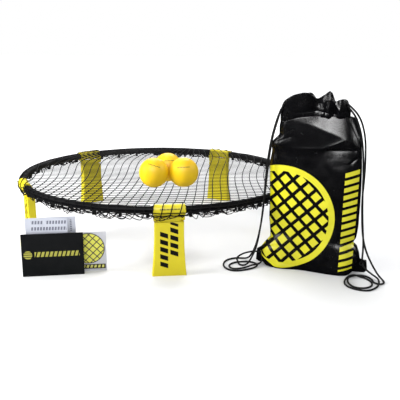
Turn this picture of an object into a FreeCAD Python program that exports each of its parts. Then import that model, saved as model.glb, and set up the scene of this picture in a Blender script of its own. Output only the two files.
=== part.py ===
import FreeCAD, Part
import math
import os

# Roundnet set: a knock-down ring with a hooked net on five folding legs, three balls,
# a drawstring bag and three pieces of printed matter that stand beside it.
# Millimetres. The origin is on the floor in the middle of the whole set's footprint, +Z up,
# front leg towards -Y. Every piece is modelled from the ring's axis, and save() moves it to
# the ring's place.

Vec = FreeCAD.Vector

# ---------------------------------------------------------------- driving dimensions
RING_CENTRE = Vec(-44.3, 15.3, 0.0)     # the ring's axis, from the set's origin
RIM_RADIUS = 446.5          # centre line of the ring
RIM_HEIGHT = 187.5          # centre line above the floor
TUBE_RADIUS = 10.5
TUBE_BORE = 8.3
TUBE_GAP = 2.4              # each tube end to the middle of its socket

LEG_STEP = 72.0
LEG_NAMES = ["front", "right", "back_right", "back_left", "left"]
FIRST_LEG_ANGLE = -90.0

SOCKET_LENGTH = 85.0
SOCKET_RADIUS = 15.5
SOCKET_BORE = 10.55
SOCKET_WEB = 3.0            # wall in the middle that stops both tubes

HINGE_RADIUS = 435.0        # pin distance from the ring's axis
HINGE_HEIGHT = 164.0
PIN_RADIUS = 3.0
PIN_LENGTH = 84.0
PIN_CLEARANCE = 0.05
KNUCKLE_RADIUS = 9.0
EAR_INNER = 31.0            # half the gap between the two ears
EAR_OUTER = 42.0
KNUCKLE_HALF = 30.6

LEG_TOP = 153.4
LEG_OUTER = 447.0           # outer face, from the ring's axis
LEG_DEPTH = 24.0
LEG_HALF_TOP = 40.0
LEG_HALF_WAIST = 40.8
LEG_HALF_FOOT = 47.2
LEG_WAIST_HEIGHT = 88.0
LEG_WALL = 3.0
LEG_ROOF = 6.0
FOOT_ZONE = 42.0            # lower part of the inner face stands proud
FOOT_STEP = 1.6

NET_THICKNESS = 1.4
NET_GAP = 0.3               # net above the tube
HEM_THICKNESS = 1.2
HOOKS_PER_TUBE = 7
HOOK_END_MARGIN = 1.9       # degrees from a socket's end to the first hook
HOOK_WIDTH = 8.0

BALL_RADIUS = 44.0
BALL_WALL = 2.2
BALL_CENTRES = [(-31.1, -237.7), (57.4, -240.3), (15.4, -162.4)]
VALVE_RADIUS = 3.5
VALVE_DEPTH = 6.0

BAG_ORIGIN = Vec(384.7, -445.7, 0.0)    # middle of the bag's lower front edge
BAG_YAW = -23.63
BAG_WALL = 2.0
# height, left edge, right edge, front, back
BAG_SECTIONS = [
    (0.0, -102.0, 116.0, 4.0, 56.0),
    (12.0, -112.0, 124.0, 0.0, 62.0),
    (60.0, -113.0, 126.0, 0.0, 64.0),
    (110.0, -107.0, 125.0, 0.0, 66.0),
    (200.0, -110.0, 128.0, 0.0, 67.0),
    (290.0, -114.0, 124.5, 0.0, 66.0),
    (345.0, -113.0, 119.5, 1.0, 64.0),
    (395.0, -98.0, 111.0, 3.0, 58.0),
    (420.0, -95.0, 105.0, 5.0, 54.0),
    (432.0, -90.0, 98.0, 8.0, 50.0),
]
GATHER_SECTIONS = [
    (432.0, -84.0, 90.0, 9.0, 49.0),
    (450.0, -91.0, 85.0, 8.0, 50.0),
    (470.0, -85.0, 80.0, 10.0, 48.0),
    (486.0, -64.0, 66.0, 14.0, 44.0),
    (492.0, -46.0, 44.0, 19.0, 39.0),
]
TAB_FRONT = 25.0
TAB_THICKNESS = 3.0
TAB_LEFT = [(-117.0, 88.0), (-141.0, 46.0), (-143.0, 14.0), (-133.0, 4.0), (-117.0, 4.0)]
TAB_RIGHT = [(130.0, 92.0), (142.0, 66.0), (150.0, 46.0), (161.0, 44.0), (165.0, 16.0),
             (154.0, 4.0), (130.0, 4.0)]
EYELET_LEFT = (-131.0, 30.0)
EYELET_RIGHT = (148.0, 30.0)
EYELET_OUTER = 4.5
EYELET_BORE = 3.2
EYELET_FLANGE = 7.0
EYELET_FLANGE_THICKNESS = 0.8

CORD_RADIUS = 2.5
# Points of each route: across the bag, deep into it, and up.
CORD_ROUTES = {
    "cord_left_outer": [
        (-82, 21, 476), (-93, 22, 453), (-103, 22, 424), (-112, 21, 390), (-118, 20, 360),
        (-122, 19, 332),
        (-125, 17, 300), (-128, 15, 250), (-130, 14, 194), (-134, 16, 143), (-139, 19, 103),
        (-146, 23, 68), (-154, 25, 40), (-165, 21, 17)],
    "cord_left_inner": [
        (-93, 8, 447), (-100, 7, 418), (-107, 5, 391), (-113, 4, 363), (-116, 3, 335),
        (-120, 3, 300), (-123, 2, 250), (-127, 3, 200), (-131, 5, 150), (-137, 7, 104),
        (-142, 7, 70), (-147, 5, 46), (-155, 0, 25), (-165, -6, 9)],
    "cord_right_outer": [
        (82, 12, 474), (99, 12, 451), (114, 11, 431), (124, 10, 406), (131, 9, 376),
        (134, 8, 343), (136, 7, 304), (136, 5, 262), (135, 4, 215), (138, 2, 175),
        (142, 0, 135), (148, -2, 102), (157, -3, 76), (169, -4, 51), (183, -5, 28),
        (197, -7, 11.5), (211, -15, 3.6), (213, -31, 2.6), (200, -40, 2.6)],
    "cord_right_inner": [
        (83, 23, 463), (96, 23, 443), (108, 24, 420), (118, 25, 392), (124.5, 27, 361),
        (129.5, 29, 323), (132.5, 30, 280), (134.5, 31, 235), (138, 30, 182), (142, 26, 140),
        (147, 20, 100), (149, 17, 68), (148, 18.5, 42)],
    # From the coils on the floor up to the eyelets.
    "cord_left_tail": [
        (-197, -3, 8.2), (-203, 8, 10), (-199, 17, 15), (-185, 19, 24), (-167, 15, 32),
        (-151, 13, 37), (-138, 17, 35)],
    "cord_left_end": [
        (-140, -20, 8.2), (-131, -10, 9.5), (-127, 2, 14), (-128, 11, 20.5), (-130, 19, 28)],
    "cord_right_end": [
        (195, -22, 8), (186, -8, 9.5), (175, 2, 12), (163, 11, 17.5), (153, 17, 24),
        (149, 20.5, 31)],
}
COIL_LEFT = (-186.0, -18.0, 50.0, 54.0)      # middle across and deep, half sizes
COIL_RIGHT = (152.0, -45.0, 50.0, 54.0)
COIL_HEIGHT = 9.0

CARD_WIDTH = 164.0
CARD_HEIGHT = 119.0
CARD_THICKNESS = 1.2
CARD_CORNER = Vec(-394.7, -416.7, 0.0)
CARD_YAW = 1.88
CARD_LEAN = 2.0

FOLD = Vec(-382.5, -401.2, 0.0)
LEAF_HEIGHT = 160.0
LEAF_THICKNESS = 0.8
FRONT_LEAF_WIDTH = 111.0
BACK_LEAF_WIDTH = 132.0
BACK_LEAF_ANGLE = 4.0

STICKER_LEFT = -249.0
STICKER_RIGHT = -170.8
STICKER_Y = -388.0
STICKER_HEIGHT = 113.0
STICKER_THICKNESS = 0.6


# ---------------------------------------------------------------- helpers
def ring_segment(radius, start, end, centre_radius=RIM_RADIUS, height=RIM_HEIGHT):
    """A round bar bent along the ring between two angles in degrees."""
    circle = Part.Circle(Vec(centre_radius, 0, height), Vec(0, 1, 0), radius)
    face = Part.Face(Part.Wire([circle.toShape()]))
    bar = face.revolve(Vec(0, 0, 0), Vec(0, 0, 1), end - start)
    bar.rotate(Vec(0, 0, 0), Vec(0, 0, 1), start)
    return bar


def arc_angle(length):
    """Degrees that a length takes along the ring's centre line."""
    return math.degrees(length / RIM_RADIUS)


def turned(shape, angle):
    copy = shape.copy()
    copy.rotate(Vec(0, 0, 0), Vec(0, 0, 1), angle)
    return copy


def box(x0, x1, y0, y1, z0, z1):
    return Part.makeBox(x1 - x0, y1 - y0, z1 - z0, Vec(x0, y0, z0))


def prism(points, start, depth, plane):
    """A polygon pushed along the axis it doesn't use; plane is 'xz' or 'yz'."""
    if plane == "xz":
        corners = [Vec(a, start, b) for a, b in points]
        push = Vec(0, depth, 0)
    else:
        corners = [Vec(start, a, b) for a, b in points]
        push = Vec(depth, 0, 0)
    wire = Part.makePolygon(corners + [corners[0]])
    return Part.Face(wire).extrude(push)


def bag_place(shape):
    """Moves a shape from the bag's own frame to its place on the floor."""
    copy = shape.copy()
    copy.rotate(Vec(0, 0, 0), Vec(0, 0, 1), BAG_YAW)
    copy.translate(BAG_ORIGIN)
    return copy


def oval_wire(height, left, right, front, back, inset=0.0):
    across = Vec((right - left) / 2 - inset, 0, 0)
    deep = Vec(0, (back - front) / 2 - inset, 0)
    centre = Vec((left + right) / 2, (front + back) / 2, height)
    if across.Length >= deep.Length:
        oval = Part.Ellipse(centre + across, centre + deep, centre)
    else:
        oval = Part.Ellipse(centre + deep, centre - across, centre)
    return Part.Wire([oval.toShape()])


def oval_stack(sections, inset=0.0, trim=0.0):
    """A solid through a stack of ovals, shrunk by inset and shortened at both ends by trim."""
    wires = []
    for index, (height, left, right, front, back) in enumerate(sections):
        if index == 0:
            height += trim
        if index == len(sections) - 1:
            height -= trim
        wires.append(oval_wire(height, left, right, front, back, inset))
    return Part.makeLoft(wires, True, True)


def cord_tube(name, points):
    """A tube along straight runs joined by tangent arcs; prints its arcs' radii."""
    route = [Vec(*point) for point in points]
    edges = []
    radii = []
    start = route[0]
    for before, corner, after in zip(route, route[1:], route[2:]):
        inward = (corner - before).normalize()
        outward = (after - corner).normalize()
        half_turn = inward.getAngle(outward) / 2
        cut = 0.45 * min((corner - before).Length, (after - corner).Length)
        radius = cut / math.tan(half_turn)
        radii.append(radius)
        arc_start = corner - inward * cut
        arc_end = corner + outward * cut
        middle_way = (outward - inward).normalize()
        arc_middle = corner + middle_way * (radius / math.cos(half_turn) - radius)
        edges.append(Part.LineSegment(start, arc_start).toShape())
        edges.append(Part.Arc(arc_start, arc_middle, arc_end).toShape())
        start = arc_end
    edges.append(Part.LineSegment(start, route[-1]).toShape())
    path = Part.Wire(edges)
    first_way = (route[1] - route[0]).normalize()
    section = Part.Wire([Part.Circle(route[0], first_way, CORD_RADIUS).toShape()])
    tube = path.makePipeShell([section], True, True)
    expected = math.pi * CORD_RADIUS ** 2 * path.Length
    print("%s: length %.1f, smallest radius %.1f, volume over expected %.4f"
          % (name, path.Length, min(radii), tube.Volume / expected))
    return tube


def save(name, shape):
    placed = shape.copy()
    placed.translate(RING_CENTRE)
    if not placed.isValid():
        print("NOT VALID", name)
    print("%-20s solids %d volume %.1f" % (name, len(placed.Solids), placed.Volume))
    placed.exportStep(os.path.join("parts", name + ".step"))


# ---------------------------------------------------------------- ring
def rim_tube():
    """One tube, from the front socket to the next one."""
    inset = arc_angle(TUBE_GAP)
    start = FIRST_LEG_ANGLE + inset
    end = FIRST_LEG_ANGLE + LEG_STEP - inset
    return ring_segment(TUBE_RADIUS, start, end).cut(ring_segment(TUBE_BORE, start, end))


def socket():
    """The moulded coupling over the front leg: two blind bores and two hinge ears."""
    half = arc_angle(SOCKET_LENGTH / 2)
    web = arc_angle(SOCKET_WEB / 2)
    angle = FIRST_LEG_ANGLE
    body = ring_segment(SOCKET_RADIUS, angle - half, angle + half)
    ends = [edge for edge in body.Edges if abs(edge.Length - 2 * math.pi * SOCKET_RADIUS) < 0.5]
    body = body.makeFillet(1.8, ends)
    back = -HINGE_RADIUS - KNUCKLE_RADIUS
    front = -HINGE_RADIUS + KNUCKLE_RADIUS
    for side in (-1, 1):
        low, high = sorted((side * EAR_INNER, side * EAR_OUTER))
        web_plate = box(low, high, back, front, HINGE_HEIGHT, RIM_HEIGHT - 6)
        cheek = Part.makeCylinder(KNUCKLE_RADIUS, high - low,
                                  Vec(low, -HINGE_RADIUS, HINGE_HEIGHT), Vec(1, 0, 0))
        body = body.fuse([web_plate, cheek])
    for bore_start, bore_end in ((-half - 1, -web), (web, half + 1)):
        body = body.cut(ring_segment(SOCKET_BORE, angle + bore_start, angle + bore_end))
    return body.cut(pin())


def pin():
    return Part.makeCylinder(PIN_RADIUS, PIN_LENGTH,
                             Vec(-PIN_LENGTH / 2, -HINGE_RADIUS, HINGE_HEIGHT), Vec(1, 0, 0))


def leg_outline(half_top, half_waist, half_foot, low, high):
    """The leg's front outline between two heights, waisted and flared to its foot."""
    right = Part.Arc(Vec(half_foot, 0, low), Vec(half_waist, 0, LEG_WAIST_HEIGHT),
                     Vec(half_top, 0, high)).toShape()
    top = Part.LineSegment(Vec(half_top, 0, high), Vec(-half_top, 0, high)).toShape()
    left = Part.Arc(Vec(-half_top, 0, high), Vec(-half_waist, 0, LEG_WAIST_HEIGHT),
                    Vec(-half_foot, 0, low)).toShape()
    bottom = Part.LineSegment(Vec(-half_foot, 0, low), Vec(half_foot, 0, low)).toShape()
    return Part.Face(Part.Wire([right, top, left, bottom]))


def leg():
    """The front leg: a shell open at the floor, with a knuckle between the socket's ears."""
    outer = -LEG_OUTER
    shell = leg_outline(LEG_HALF_TOP, LEG_HALF_WAIST, LEG_HALF_FOOT, 0, LEG_TOP)
    shell = shell.extrude(Vec(0, LEG_DEPTH, 0))
    shell.translate(Vec(0, outer, 0))
    rounded = []
    for edge in shell.Edges:
        spans = edge.BoundBox
        if spans.ZLength > 100 or (spans.ZMin > LEG_TOP - 0.1 and spans.XLength > 60):
            rounded.append(edge)
    shell = shell.makeFillet(2.4, rounded)
    panel = box(-LEG_HALF_WAIST + 8, LEG_HALF_WAIST - 8, outer + LEG_DEPTH - FOOT_STEP,
                outer + LEG_DEPTH + 1, FOOT_ZONE, LEG_TOP - 12)
    shell = shell.cut(panel)
    hollow = leg_outline(LEG_HALF_TOP - LEG_WALL, LEG_HALF_WAIST - LEG_WALL,
                         LEG_HALF_FOOT - LEG_WALL, -1, LEG_TOP - LEG_ROOF)
    hollow = hollow.extrude(Vec(0, LEG_DEPTH - 2 * LEG_WALL - FOOT_STEP, 0))
    hollow.translate(Vec(0, outer + LEG_WALL, 0))
    shell = shell.cut(hollow)
    neck = box(-KNUCKLE_HALF, KNUCKLE_HALF, -HINGE_RADIUS - KNUCKLE_RADIUS + 1,
               -HINGE_RADIUS + KNUCKLE_RADIUS - 1, LEG_TOP - 3, HINGE_HEIGHT)
    knuckle = Part.makeCylinder(KNUCKLE_RADIUS, 2 * KNUCKLE_HALF,
                                Vec(-KNUCKLE_HALF, -HINGE_RADIUS, HINGE_HEIGHT), Vec(1, 0, 0))
    bore = Part.makeCylinder(PIN_RADIUS + PIN_CLEARANCE, 2 * KNUCKLE_HALF + 2,
                             Vec(-KNUCKLE_HALF - 1, -HINGE_RADIUS, HINGE_HEIGHT), Vec(1, 0, 0))
    return shell.fuse([neck, knuckle]).cut(bore).removeSplitter()


# ---------------------------------------------------------------- net
def socket_envelopes():
    half = arc_angle(SOCKET_LENGTH / 2 + NET_GAP)
    angles = [FIRST_LEG_ANGLE + LEG_STEP * k for k in range(len(LEG_NAMES))]
    return [ring_segment(SOCKET_RADIUS + NET_GAP, a - half, a + half) for a in angles]


def net():
    low = RIM_HEIGHT + TUBE_RADIUS + NET_GAP
    sheet = Part.makeCylinder(RIM_RADIUS, NET_THICKNESS, Vec(0, 0, low))
    return sheet.cut(Part.makeCompound(socket_envelopes())).removeSplitter()


def net_hem():
    """The net's edge, wrapped down the outside of the tubes to the hooks."""
    inner = TUBE_RADIUS + NET_GAP
    outer = inner + HEM_THICKNESS
    angles = [math.radians(a) for a in (72, -10, -62)]

    def at(radius, angle):
        return Vec(RIM_RADIUS + radius * math.cos(angle), 0, RIM_HEIGHT + radius * math.sin(angle))

    wire = Part.Wire([
        Part.Arc(at(inner, angles[0]), at(inner, angles[1]), at(inner, angles[2])).toShape(),
        Part.LineSegment(at(inner, angles[2]), at(outer, angles[2])).toShape(),
        Part.Arc(at(outer, angles[2]), at(outer, angles[1]), at(outer, angles[0])).toShape(),
        Part.LineSegment(at(outer, angles[0]), at(inner, angles[0])).toShape()])
    hem = Part.Face(wire).revolve(Vec(0, 0, 0), Vec(0, 0, 1), 360)
    return hem.cut(Part.makeCompound(socket_envelopes())).removeSplitter()


def net_hooks():
    """Small J hooks moulded under the tubes, beside the sockets and between them."""
    bottom = RIM_HEIGHT - TUBE_RADIUS
    outline = [(RIM_RADIUS - 3.5, bottom + 2), (RIM_RADIUS - 3.5, bottom - 10),
               (RIM_RADIUS + 6.5, bottom - 10), (RIM_RADIUS + 8.0, bottom - 4.5),
               (RIM_RADIUS + 5.5, bottom - 4.5), (RIM_RADIUS + 4.0, bottom - 7.0),
               (RIM_RADIUS + 0.5, bottom - 7.0), (RIM_RADIUS + 0.5, bottom + 2)]
    hook = prism(outline, -HOOK_WIDTH / 2, HOOK_WIDTH, "xz")
    tube = ring_segment(TUBE_RADIUS, -3, 3)
    hook = hook.cut(tube)
    first = arc_angle(SOCKET_LENGTH / 2) + HOOK_END_MARGIN
    step = (LEG_STEP - 2 * first) / (HOOKS_PER_TUBE - 1)
    hooks = []
    for side in range(len(LEG_NAMES)):
        for k in range(HOOKS_PER_TUBE):
            hooks.append(turned(hook, FIRST_LEG_ANGLE + LEG_STEP * side + first + step * k))
    return Part.makeCompound(hooks)


# ---------------------------------------------------------------- balls
def ball_height():
    return RIM_HEIGHT + TUBE_RADIUS + NET_GAP + NET_THICKNESS + BALL_RADIUS + 0.3


def valve(centre):
    """The needle valve's plug, pressed into the ball's wall on its far side."""
    way = Vec(0.25, 0.85, 0.45).normalize()
    plug = Part.makeCylinder(VALVE_RADIUS, VALVE_DEPTH,
                             centre + way * (BALL_RADIUS - VALVE_DEPTH), way)
    return plug.common(Part.makeSphere(BALL_RADIUS, centre))


def ball(centre):
    skin = Part.makeSphere(BALL_RADIUS, centre)
    skin = skin.cut(Part.makeSphere(BALL_RADIUS - BALL_WALL, centre))
    return skin.cut(valve(centre))


# ---------------------------------------------------------------- bag
def bag_body():
    outside = oval_stack(BAG_SECTIONS)
    inside = oval_stack(BAG_SECTIONS, BAG_WALL, BAG_WALL)
    return bag_place(outside.cut(inside))


def bag_gather():
    return bag_place(oval_stack(GATHER_SECTIONS))


def eyelet_hole(position):
    across, up = position
    return Part.makeCylinder(EYELET_OUTER, TAB_THICKNESS, Vec(across, TAB_FRONT, up),
                             Vec(0, 1, 0))


def tab(outline, position):
    plate = prism(outline, TAB_FRONT, TAB_THICKNESS, "xz")
    return bag_place(plate.cut(eyelet_hole(position)))


def eyelet(position):
    across, up = position
    rim = EYELET_FLANGE_THICKNESS
    barrel = eyelet_hole(position)
    front = Part.makeCylinder(EYELET_FLANGE, rim, Vec(across, TAB_FRONT - rim, up), Vec(0, 1, 0))
    back = Part.makeCylinder(EYELET_FLANGE, rim, Vec(across, TAB_FRONT + TAB_THICKNESS, up),
                             Vec(0, 1, 0))
    bore = Part.makeCylinder(EYELET_BORE, TAB_THICKNESS + 4 * rim,
                             Vec(across, TAB_FRONT - 2 * rim, up), Vec(0, 1, 0))
    return bag_place(barrel.fuse([front, back]).cut(bore).removeSplitter())


def coil(size):
    across, deep, half_wide, half_deep = size
    low = oval_wire(0, across - half_wide, across + half_wide, deep - half_deep,
                    deep + half_deep)
    return bag_place(Part.Face(low).extrude(Vec(0, 0, COIL_HEIGHT)))


# ---------------------------------------------------------------- printed matter
def card():
    plate = box(0, CARD_WIDTH, -CARD_THICKNESS, 0, 0, CARD_HEIGHT)
    edges = [edge for edge in plate.Edges
             if edge.BoundBox.YLength > CARD_THICKNESS / 2 and edge.BoundBox.XLength < 0.1]
    plate = plate.makeFillet(2.0, edges)
    plate.rotate(Vec(0, -CARD_THICKNESS, 0), Vec(1, 0, 0), -CARD_LEAN)
    plate.translate(Vec(0, CARD_THICKNESS, -plate.BoundBox.ZMin))
    plate.rotate(Vec(0, 0, 0), Vec(0, 0, 1), CARD_YAW)
    plate.translate(CARD_CORNER)
    return plate


def front_leaf():
    y = FOLD.y - 0.9
    half = LEAF_THICKNESS / 2
    return box(FOLD.x, FOLD.x + FRONT_LEAF_WIDTH, y - half, y + half, 0, LEAF_HEIGHT)


def back_leaf():
    half = LEAF_THICKNESS / 2
    leaf = box(0.6, BACK_LEAF_WIDTH, -half, half, 0, LEAF_HEIGHT)
    leaf.rotate(Vec(0, 0, 0), Vec(0, 0, 1), BACK_LEAF_ANGLE)
    leaf.translate(FOLD)
    return leaf


def sticker():
    half = STICKER_THICKNESS / 2
    return box(STICKER_LEFT, STICKER_RIGHT, STICKER_Y - half, STICKER_Y + half,
               0, STICKER_HEIGHT)


# ---------------------------------------------------------------- build every node
os.makedirs("parts", exist_ok=True)

front_tube = rim_tube()
front_socket = socket()
front_pin = pin()
front_leg = leg()
for number, name in enumerate(LEG_NAMES):
    angle = LEG_STEP * number
    save("rim_tube_%d" % (number + 1), turned(front_tube, angle))
    save("socket_" + name, turned(front_socket, angle))
    save("hinge_pin_" + name, turned(front_pin, angle))
    save("leg_" + name, turned(front_leg, angle))

save("net", net())
save("net_hem", net_hem())
save("net_hooks", net_hooks())

for number, (x, y) in enumerate(BALL_CENTRES):
    middle = Vec(x, y, ball_height())
    save("ball_%d" % (number + 1), ball(middle))
    save("ball_valve_%d" % (number + 1), valve(middle))

save("bag_body", bag_body())
save("bag_gather", bag_gather())
save("bag_tab_left", tab(TAB_LEFT, EYELET_LEFT))
save("bag_tab_right", tab(TAB_RIGHT, EYELET_RIGHT))
save("eyelet_left", eyelet(EYELET_LEFT))
save("eyelet_right", eyelet(EYELET_RIGHT))
for name, route in CORD_ROUTES.items():
    save(name, bag_place(cord_tube(name, route)))
save("cord_coil_left", coil(COIL_LEFT))
save("cord_coil_right", coil(COIL_RIGHT))

save("rules_card", card())
save("leaflet_front", front_leaf())
save("leaflet_back", back_leaf())
save("sticker_sheet", sticker())
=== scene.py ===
import bisect
import math
import random

import bpy
from mathutils import Matrix, Vector, noise


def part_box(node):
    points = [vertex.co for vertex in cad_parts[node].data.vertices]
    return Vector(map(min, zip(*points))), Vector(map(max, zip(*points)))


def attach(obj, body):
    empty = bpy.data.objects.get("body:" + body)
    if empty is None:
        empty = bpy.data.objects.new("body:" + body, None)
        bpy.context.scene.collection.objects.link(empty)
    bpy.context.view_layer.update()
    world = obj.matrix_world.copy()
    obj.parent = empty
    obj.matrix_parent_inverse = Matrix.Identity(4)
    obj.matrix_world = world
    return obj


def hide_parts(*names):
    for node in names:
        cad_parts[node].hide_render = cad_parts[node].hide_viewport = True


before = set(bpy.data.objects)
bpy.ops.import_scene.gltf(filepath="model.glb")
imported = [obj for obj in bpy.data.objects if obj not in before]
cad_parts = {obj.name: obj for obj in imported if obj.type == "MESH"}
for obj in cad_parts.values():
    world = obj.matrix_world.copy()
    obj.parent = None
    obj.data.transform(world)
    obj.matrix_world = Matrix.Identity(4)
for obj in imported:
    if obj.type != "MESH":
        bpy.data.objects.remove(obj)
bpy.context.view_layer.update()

# Looks of the roundnet set. Metres, in the CAD model's frame: origin on the floor in the
# middle of the set's footprint, +Z up, front leg towards -Y.

MM = 0.001
random.seed(11)

# ---------------------------------------------------------------- sizes
RING_CENTRE = Vector((-0.0443, 0.0153, 0.0))
RIM_RADIUS = 0.4465
RIM_HEIGHT = 0.1875
TUBE_WRAP = 0.0116          # middle of a net cord lying on the tube, from the tube's centre
SOCKET_WRAP = 0.0166
SOCKET_HALF_ANGLE = math.radians(5.45)
# Degrees round the ring, from +X.
LEG_ANGLES = {"front": -90, "right": -18, "back_right": 54, "back_left": 126, "left": 198}

LENGTHWISE_CORD = 0.00135   # radii
CROSSWISE_CORD = 0.00098
HEM_CORD = 0.00128
EDGE_CORD = 0.0011

BAG_ORIGIN = Vector((0.3404, -0.4304, 0.0))
BAG_YAW = math.radians(-23.63)

CARD_CORNER = (-0.4390, -0.4014, 0.0)
CARD_YAW, CARD_LEAN = math.radians(1.88), math.radians(-2)
LEAFLET_CORNER = (-0.4268, -0.3859, 0.0)
STICKER_MIDDLE = (-0.2640, -0.3727, 0.0)

CAMERA_PLACE = Vector((-0.1418, -1.8956, 0.6085))
CAMERA_AIM = Vector((0.1174, 0.9587, -0.2590))
CAMERA_RIGHT = Vector((0.9928, -0.1190, 0.0096))
CAMERA_LENS = 51.756


# ---------------------------------------------------------------- camera
def make_camera():
    data = bpy.data.cameras.new("camera")
    data.lens = CAMERA_LENS
    data.sensor_width = 36
    camera = bpy.data.objects.new("camera", data)
    bpy.context.scene.collection.objects.link(camera)
    forward = CAMERA_AIM.normalized()
    right = (CAMERA_RIGHT - forward * CAMERA_RIGHT.dot(forward)).normalized()
    up = right.cross(forward)
    turn = Matrix((right, up, -forward)).transposed().to_4x4()
    camera.matrix_world = Matrix.Translation(CAMERA_PLACE) @ turn
    bpy.context.scene.camera = camera


make_camera()


# ---------------------------------------------------------------- node helpers
class Shader:
    """A material's node tree with short calls for what the looks below need."""

    def __init__(self, name):
        self.material = bpy.data.materials.new(name)
        self.material.use_nodes = True
        self.tree = self.material.node_tree
        self.bsdf = self.tree.nodes["Principled BSDF"]
        self.place = self.node("ShaderNodeTexCoord").outputs["Object"]

    def node(self, kind, settings=None, **inputs):
        made = self.tree.nodes.new(kind)
        for key, value in (settings or {}).items():
            setattr(made, key, value)
        for key, value in inputs.items():
            self.feed(made.inputs[key.replace("_", " ")], value)
        return made

    def feed(self, socket, value):
        if isinstance(value, bpy.types.NodeSocket):
            self.tree.links.new(value, socket)
        else:
            socket.default_value = value

    def math(self, operation, first, second=0.0):
        made = self.tree.nodes.new("ShaderNodeMath")
        made.operation = operation
        self.feed(made.inputs[0], first)
        self.feed(made.inputs[1], second)
        return made.outputs[0]

    def between(self, value, low, high):
        above = self.math("GREATER_THAN", value, low)
        return self.math("MULTIPLY", above, self.math("LESS_THAN", value, high))

    def all_of(self, *masks):
        result = masks[0]
        for mask in masks[1:]:
            result = self.math("MULTIPLY", result, mask)
        return result

    def any_of(self, *masks):
        result = masks[0]
        for mask in masks[1:]:
            result = self.math("MAXIMUM", result, mask)
        return result

    def slanted(self, value, other, slope):
        """value, shifted in step with another coordinate."""
        return self.math("ADD", value, self.math("MULTIPLY", other, slope))

    def length(self, first, second):
        """Length of the vector with these two components."""
        squares = self.math("ADD", self.math("POWER", first, 2.0),
                            self.math("POWER", second, 2.0))
        return self.math("SQRT", squares)

    def stripes(self, value, pitch, share):
        """1 over a share of every pitch along value, and 0 over the rest."""
        part = self.math("FRACT", self.math("DIVIDE", value, pitch))
        return self.math("LESS_THAN", part, share)

    def local(self, origin, yaw=0.0, lean=0.0, roll=0.0):
        """x, y and z seen from an object's own origin and turn."""
        moved = self.node("ShaderNodeMapping", {"vector_type": "TEXTURE"},
                          Vector=self.place, Location=origin, Rotation=(lean, roll, yaw))
        split = self.node("ShaderNodeSeparateXYZ", Vector=moved.outputs[0])
        return split.outputs

    def noise(self, scale, detail=3.0, rough=0.55, place=None):
        made = self.node("ShaderNodeTexNoise", Vector=place or self.place, Scale=scale,
                         Detail=detail, Roughness=rough)
        return made.outputs[0]

    def spread(self, value, low, high, start=0.3, end=0.7):
        """low where value is at its start, high where it is at its end, and even between."""
        made = self.node("ShaderNodeMapRange", Value=value, From_Min=start, From_Max=end,
                         To_Min=low, To_Max=high)
        return made.outputs[0]

    def mix(self, share, first, second):
        made = self.node("ShaderNodeMix", {"data_type": "RGBA"})
        self.feed(made.inputs[0], share)
        self.feed(made.inputs[6], first if hasattr(first, "links") else (*first, 1))
        self.feed(made.inputs[7], second if hasattr(second, "links") else (*second, 1))
        return made.outputs[2]

    def bump(self, height, distance, strength, under=None):
        made = self.node("ShaderNodeBump", Height=height, Distance=distance,
                         Strength=strength)
        if under is not None:
            self.feed(made.inputs["Normal"], under)
        return made.outputs[0]

    def finish(self, colour, roughness, normal=None, **extra):
        self.feed(self.bsdf.inputs["Base Color"], colour)
        self.feed(self.bsdf.inputs["Roughness"], roughness)
        if normal is not None:
            self.feed(self.bsdf.inputs["Normal"], normal)
        for key, value in extra.items():
            self.feed(self.bsdf.inputs[key.replace("_", " ")], value)
        return self.material


def shade(colour, factor):
    return tuple(min(1.0, c * factor) for c in colour)


# ---------------------------------------------------------------- materials
YELLOW = (0.68, 0.57, 0.012)
INK_YELLOW = (0.64, 0.60, 0.005)
BLACK = (0.004, 0.004, 0.005)
BAG_DISC_MIDDLE = (-0.078, 0.150)   # of the print on the bag: across and up
BAG_DISC_RADIUS = 0.146
BAG_DISC_BORDER = 0.016


def plastic_parts(s, colour, roughness):
    blotch = s.spread(s.noise(9.0), 0.0, 1.0)
    tint = s.mix(blotch, shade(colour, 0.90), shade(colour, 1.05))
    rough = s.spread(s.noise(40.0, 4.0), roughness - 0.06, roughness + 0.08)
    grain = s.bump(s.noise(1400.0, 2.0), 0.00012, 0.5)
    scuffs = s.bump(s.noise(160.0, 5.0, 0.7), 0.00015, 0.25, under=grain)
    return tint, rough, scuffs


def moulded_plastic(name, colour, roughness=0.42, specular=0.3):
    s = Shader(name)
    tint, rough, normal = plastic_parts(s, colour, roughness)
    return s.finish(tint, rough, normal, Specular_IOR_Level=specular)


def sleeve_plastic(name, angle):
    """Yellow plastic with one row of short plain dashes round the sleeve's outer face."""
    s = Shader(name)
    tint, rough, normal = plastic_parts(s, YELLOW, 0.38)
    out, side, up = s.local(RING_CENTRE, yaw=math.radians(angle))
    dashes = s.all_of(s.math("GREATER_THAN", out, 0.4485), s.between(side, -0.027, 0.027),
                      s.between(up, 0.1905, 0.1945), s.stripes(side, 0.0036, 0.6))
    return s.finish(s.mix(dashes, tint, BLACK), rough, normal, Specular_IOR_Level=0.3)


def leg_plastic(name, angle):
    """Yellow plastic with two columns of plain slanted bars printed on the outer face."""
    s = Shader(name)
    tint, rough, normal = plastic_parts(s, YELLOW, 0.40)
    out, side, up = s.local(RING_CENTRE, yaw=math.radians(angle))
    slant = s.slanted(up, side, 0.35)
    left = s.all_of(s.between(side, -0.0250, -0.0035), s.between(slant, 0.020, 0.126))
    right = s.all_of(s.between(side, 0.0025, 0.0240), s.between(slant, 0.062, 0.156))
    outside = s.math("GREATER_THAN", out, 0.4462)
    ink = s.all_of(outside, s.any_of(left, right), s.stripes(slant, 0.0212, 0.62))
    colour = s.mix(ink, tint, BLACK)
    return s.finish(colour, rough, normal, Specular_IOR_Level=0.35)


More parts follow.
